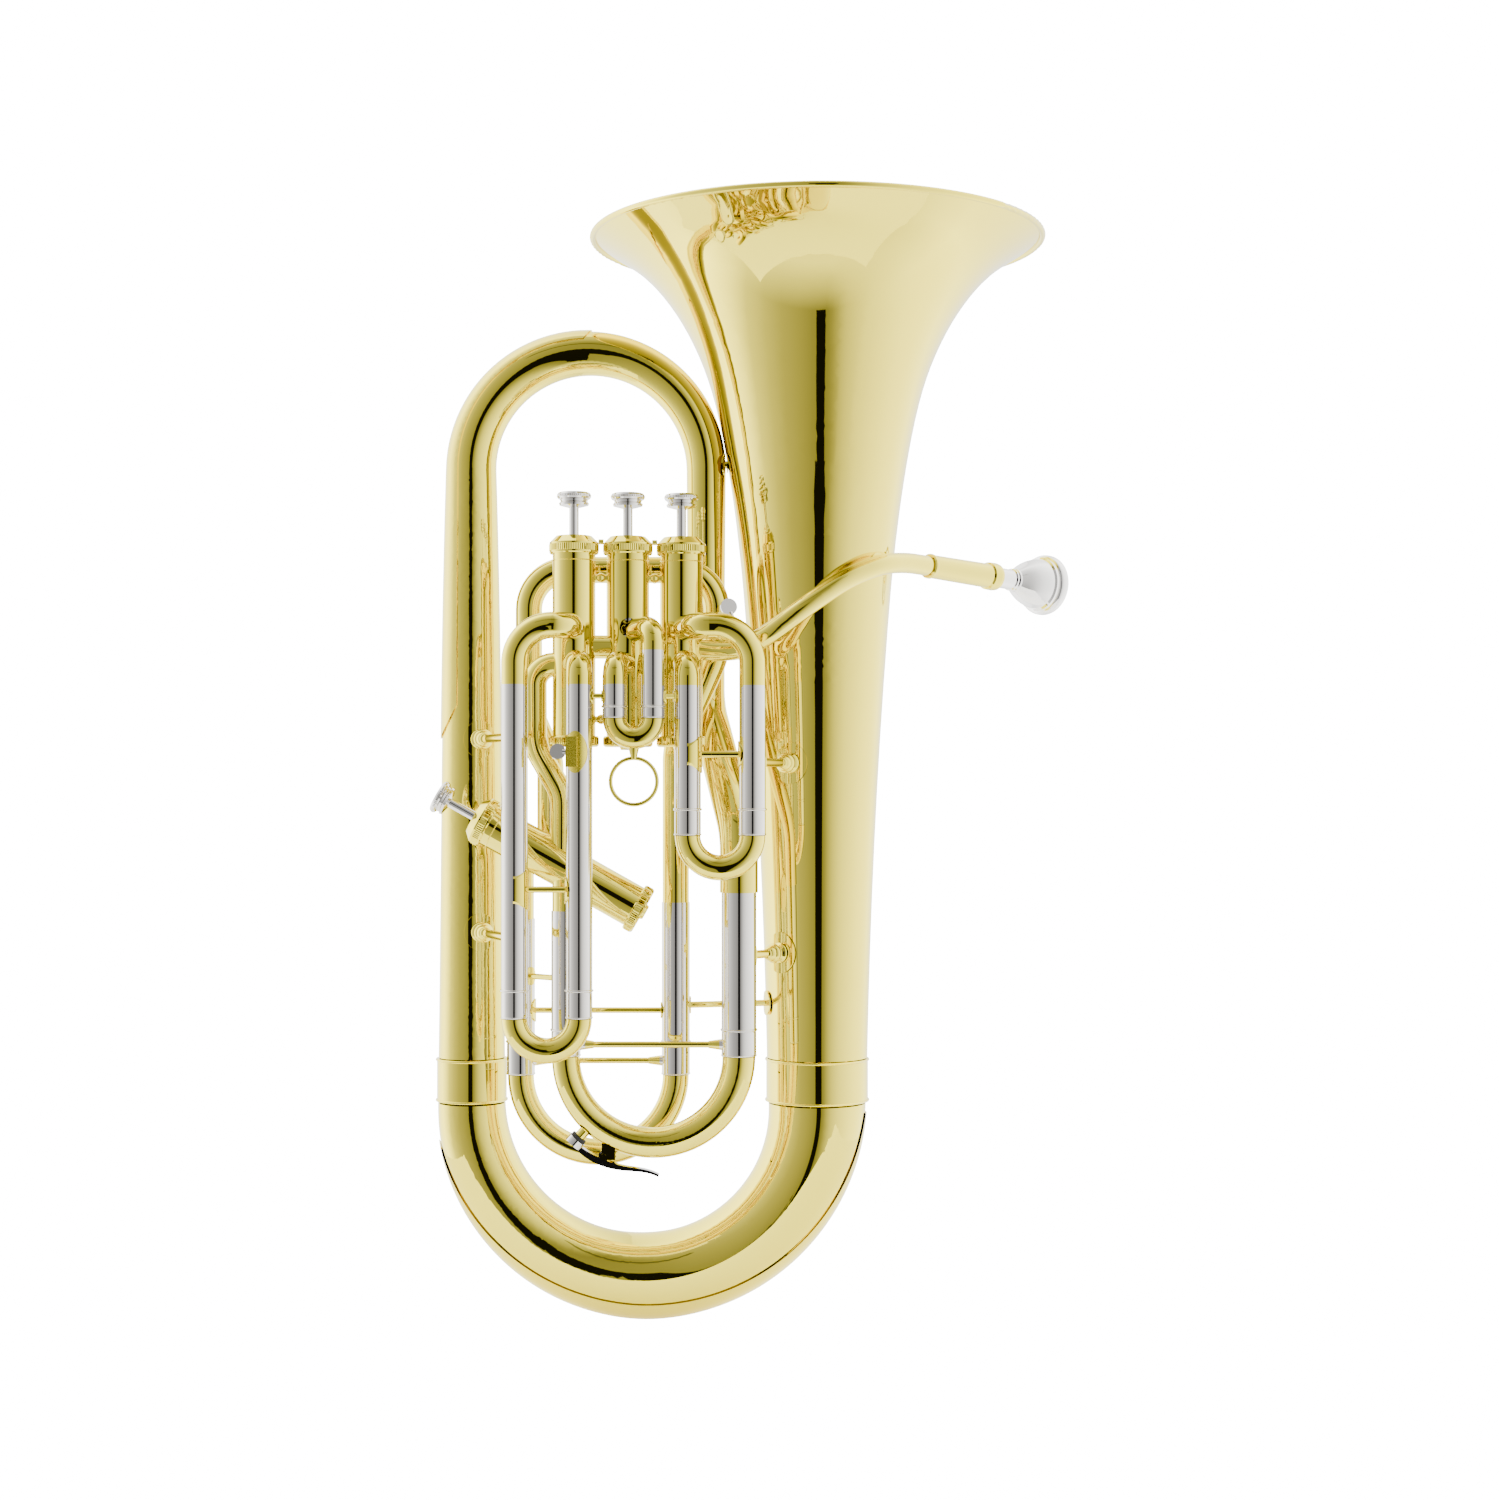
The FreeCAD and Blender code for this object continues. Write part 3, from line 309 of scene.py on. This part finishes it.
# nickel silver tubes soldered to a lacquered brass bow, one finish for each slide's own seam
dress(["valve_slide_1"], slide_metal("slide_1_nickel_and_brass", (28.7, 66.5), 9.0, 299.5))
dress(["valve_slide_2"], slide_metal("slide_2_nickel_and_brass", (-13.7, 8.7), 8.4, 367.7))
dress(["valve_slide_3"], slide_metal("slide_3_nickel_and_brass", (-71.9, -34.3), 9.0, 193.1))
dress(["fourth_slide"], slide_metal("slide_4_nickel_and_brass", (-73.9, 20.1), 9.7, 153.6))
dress(["main_tuning_slide"], slide_metal("main_slide_nickel_and_brass", (-44.6, 58.5), 11.6, 167.5))
dress(["pull_ring"], lacquered_brass)


# ---------------------------------------------------------------- water key
# Nickel-plated lever that rocks on a pin between two brass ears; a black rubber pad in its cup
# shuts the drain nipple of the main slide.
dress(["water_key"], bright_nickel)
# soft matt black rubber
pad_rubber, rubber_tree, rubber_shader = new_material("matt_black_rubber")
rubber_place = add(rubber_tree, "ShaderNodeTexCoord").outputs["Object"]
rubber_tree.links.new(colour_drift(rubber_tree, rubber_place, "1C1B1A", "111111", 3.0),
                      rubber_shader.inputs["Base Color"])
rubber_shader.inputs["Roughness"].default_value = 0.7
dress(["water_key_pad"], pad_rubber)


# ---------------------------------------------------------------- lyre holder and thumb screws
# A brass box on the third slide's sleeve holds a music lyre, clamped by a coin-headed screw.
# brass with the satin that filing its flat faces leaves, under the same lacquer
filed_brass = polished_metal("filed_brass", YELLOW_BRASS, DEEP_BRASS, 0.28, 0.03)
dress(["lyre_socket"], filed_brass)
dress(["lyre_thumb_screw", "leadpipe_thumb_screw"], bright_nickel)


# ---------------------------------------------------------------- studio
# White tent all round the horn, brightest at the sides, standing on a white lit table.  The slot
# for the lens, the gap below it and a paler seam above are the dark things that the metal reflects.
def grey(level):
    return (level, level, level, 1)


WALL_BEHIND, LOW_WALL, CEILING = 2.2, 2.4, 0.4
SLOT_BLACK, BURNT_OUT_WALL = 0.01, 17.0


def wall_levels(tree, turn):
    """Brightness of the tent's walls against direction, in degrees: 0 is the camera, + is right."""
    share = add(tree, "ShaderNodeMapRange", {"From Min": -math.pi, "From Max": math.pi}, Value=turn)
    wall = add(tree, "ShaderNodeValToRGB", i0=share.outputs[0])
    levels = [(-180, 3.0), (-140, 4.2), (-108, 5.0), (-92, 3.6), (-74, 1.7), (-56, 1.1), (-38, 0.75),
              (-20, 0.58), (-5, 0.42), (9, 0.36), (14, 0.5), (21, 0.85), (31, 1.4), (50, 2.2), (90, 3.4),
              (130, 4.2)]
    wall.color_ramp.elements.remove(wall.color_ramp.elements[0])
    for degrees, level in levels:
        stop = wall.color_ramp.elements.new((degrees + 180) / 360)
        stop.color = grey(level)
    wall.color_ramp.elements[-1].color = grey(WALL_BEHIND)
    return wall.outputs[0]


# dark patches in degrees, each (direction, half width, height, half height, depth): the lens slot,
# the gap in the wall below it and the paler seam above it
DARK_PATCHES = [(1.5, 7.0, 2.0, 12.5, 1.0), (2.5, 5.0, -26.0, 18.0, 1.0), (0.0, 28.0, 43.0, 1.8, 0.65)]


def tent():
    world = bpy.data.worlds.new("white_tent")
    bpy.context.scene.world = world
    world.use_nodes = True
    tree = world.node_tree
    tree.nodes.clear()
    output = tree.nodes.new("ShaderNodeOutputWorld")
    place = add(tree, "ShaderNodeTexCoord")
    split = add(tree, "ShaderNodeSeparateXYZ", i0=place.outputs["Generated"])
    back = add(tree, "ShaderNodeMath", {"operation": "MULTIPLY", 1: -1.0}, i0=split.outputs["Y"])
    turn = add(tree, "ShaderNodeMath", {"operation": "ARCTAN2"}, i0=split.outputs["X"], i1=back.outputs[0])
    climb = add(tree, "ShaderNodeMath", {"operation": "ARCSINE"}, i0=split.outputs["Z"])
    rise = add(tree, "ShaderNodeMapRange", {"From Min": -math.pi / 2, "From Max": math.pi / 2},
               Value=climb.outputs[0])
    height = add(tree, "ShaderNodeValToRGB", i0=rise.outputs[0])
    for degrees, level in ((-64, 1.0), (-44, 0.0), (50, 0.0), (75, 0.35)):
        stop = height.color_ramp.elements.new((degrees + 90) / 180)
        stop.color = grey(level)
    height.color_ramp.elements[0].color = grey(1)
    height.color_ramp.elements[-1].color = grey(CEILING)
    lit = add(tree, "ShaderNodeMix", {"data_type": "RGBA", 7: grey(LOW_WALL)}, i0=height.outputs[0],
              i6=wall_levels(tree, turn.outputs[0]))
    dark = None
    for sideways, half_width, up, half_height, depth in DARK_PATCHES:
        across = add(tree, "ShaderNodeMath", {"operation": "COMPARE", 1: math.radians(sideways),
                                              2: math.radians(half_width)}, i0=turn.outputs[0])
        along = add(tree, "ShaderNodeMath", {"operation": "COMPARE", 1: math.radians(up),
                                             2: math.radians(half_height)}, i0=climb.outputs[0])
        inside = add(tree, "ShaderNodeMath", {"operation": "MULTIPLY"}, i0=across.outputs[0],
                     i1=along.outputs[0])
        patch = add(tree, "ShaderNodeMath", {"operation": "MULTIPLY", 1: depth}, i0=inside.outputs[0])
        dark = patch if dark is None else add(tree, "ShaderNodeMath", {"operation": "MAXIMUM"},
                                              i0=dark.outputs[0], i1=patch.outputs[0])
    sewn = add(tree, "ShaderNodeMix", {"data_type": "RGBA", 7: grey(SLOT_BLACK)}, i0=dark.outputs[0],
               i6=lit.outputs[2])
    ray = add(tree, "ShaderNodeLightPath")
    seen = add(tree, "ShaderNodeMix", {"data_type": "RGBA", 7: grey(BURNT_OUT_WALL)},
               i0=ray.outputs["Is Camera Ray"], i6=sewn.outputs[2])
    shade = add(tree, "ShaderNodeBackground", i0=seen.outputs[2])
    tree.links.new(shade.outputs[0], output.inputs[0])


tent()

FLOOR_BACK, FLOOR_FRONT, FLOOR_LEFT, FLOOR_RIGHT, FLOOR_Z = 0.35, -0.35, -0.4, 0.45, -0.002
floor_mesh = bpy.data.meshes.new("floor")
floor_corners = [(FLOOR_LEFT, FLOOR_FRONT, FLOOR_Z), (FLOOR_RIGHT, FLOOR_FRONT, FLOOR_Z),
                 (FLOOR_RIGHT, FLOOR_BACK, FLOOR_Z), (FLOOR_LEFT, FLOOR_BACK, FLOOR_Z)]
floor_mesh.from_pydata(floor_corners, [], [(0, 1, 2, 3)])
floor = bpy.data.objects.new("floor", floor_mesh)
bpy.context.scene.collection.objects.link(floor)
# white table lit from below, so that it burns out to white like the walls
TABLE_GLOW, TABLE_BURNT_OUT = 0.8, 16.0
table_white, floor_tree, floor_shader = new_material("white_lit_table")
floor_shader.inputs["Base Color"].default_value = linear("F6F6F4")
floor_shader.inputs["Roughness"].default_value = 0.9
floor_shader.inputs["Emission Color"].default_value = linear("FFFFFF")
floor_ray = add(floor_tree, "ShaderNodeLightPath")
floor_glow = add(floor_tree, "ShaderNodeMapRange", {"To Min": TABLE_GLOW, "To Max": TABLE_BURNT_OUT},
                 Value=floor_ray.outputs["Is Camera Ray"])
floor_tree.links.new(floor_glow.outputs[0], floor_shader.inputs["Emission Strength"])
floor_mesh.materials.append(table_white)


# ---------------------------------------------------------------- camera
# Level camera in front of the valves, with the bell upright in the frame.
camera_data = bpy.data.cameras.new("camera")
camera_data.sensor_width = 36.0
camera_data.lens = 57.36
camera_data.shift_y = 0.0267
camera = bpy.data.objects.new("camera", camera_data)
camera.location = (0.0648, -1.475, 0.326)
camera.rotation_euler = (math.radians(90), 0, 0)
bpy.context.scene.collection.objects.link(camera)
bpy.context.scene.camera = camera
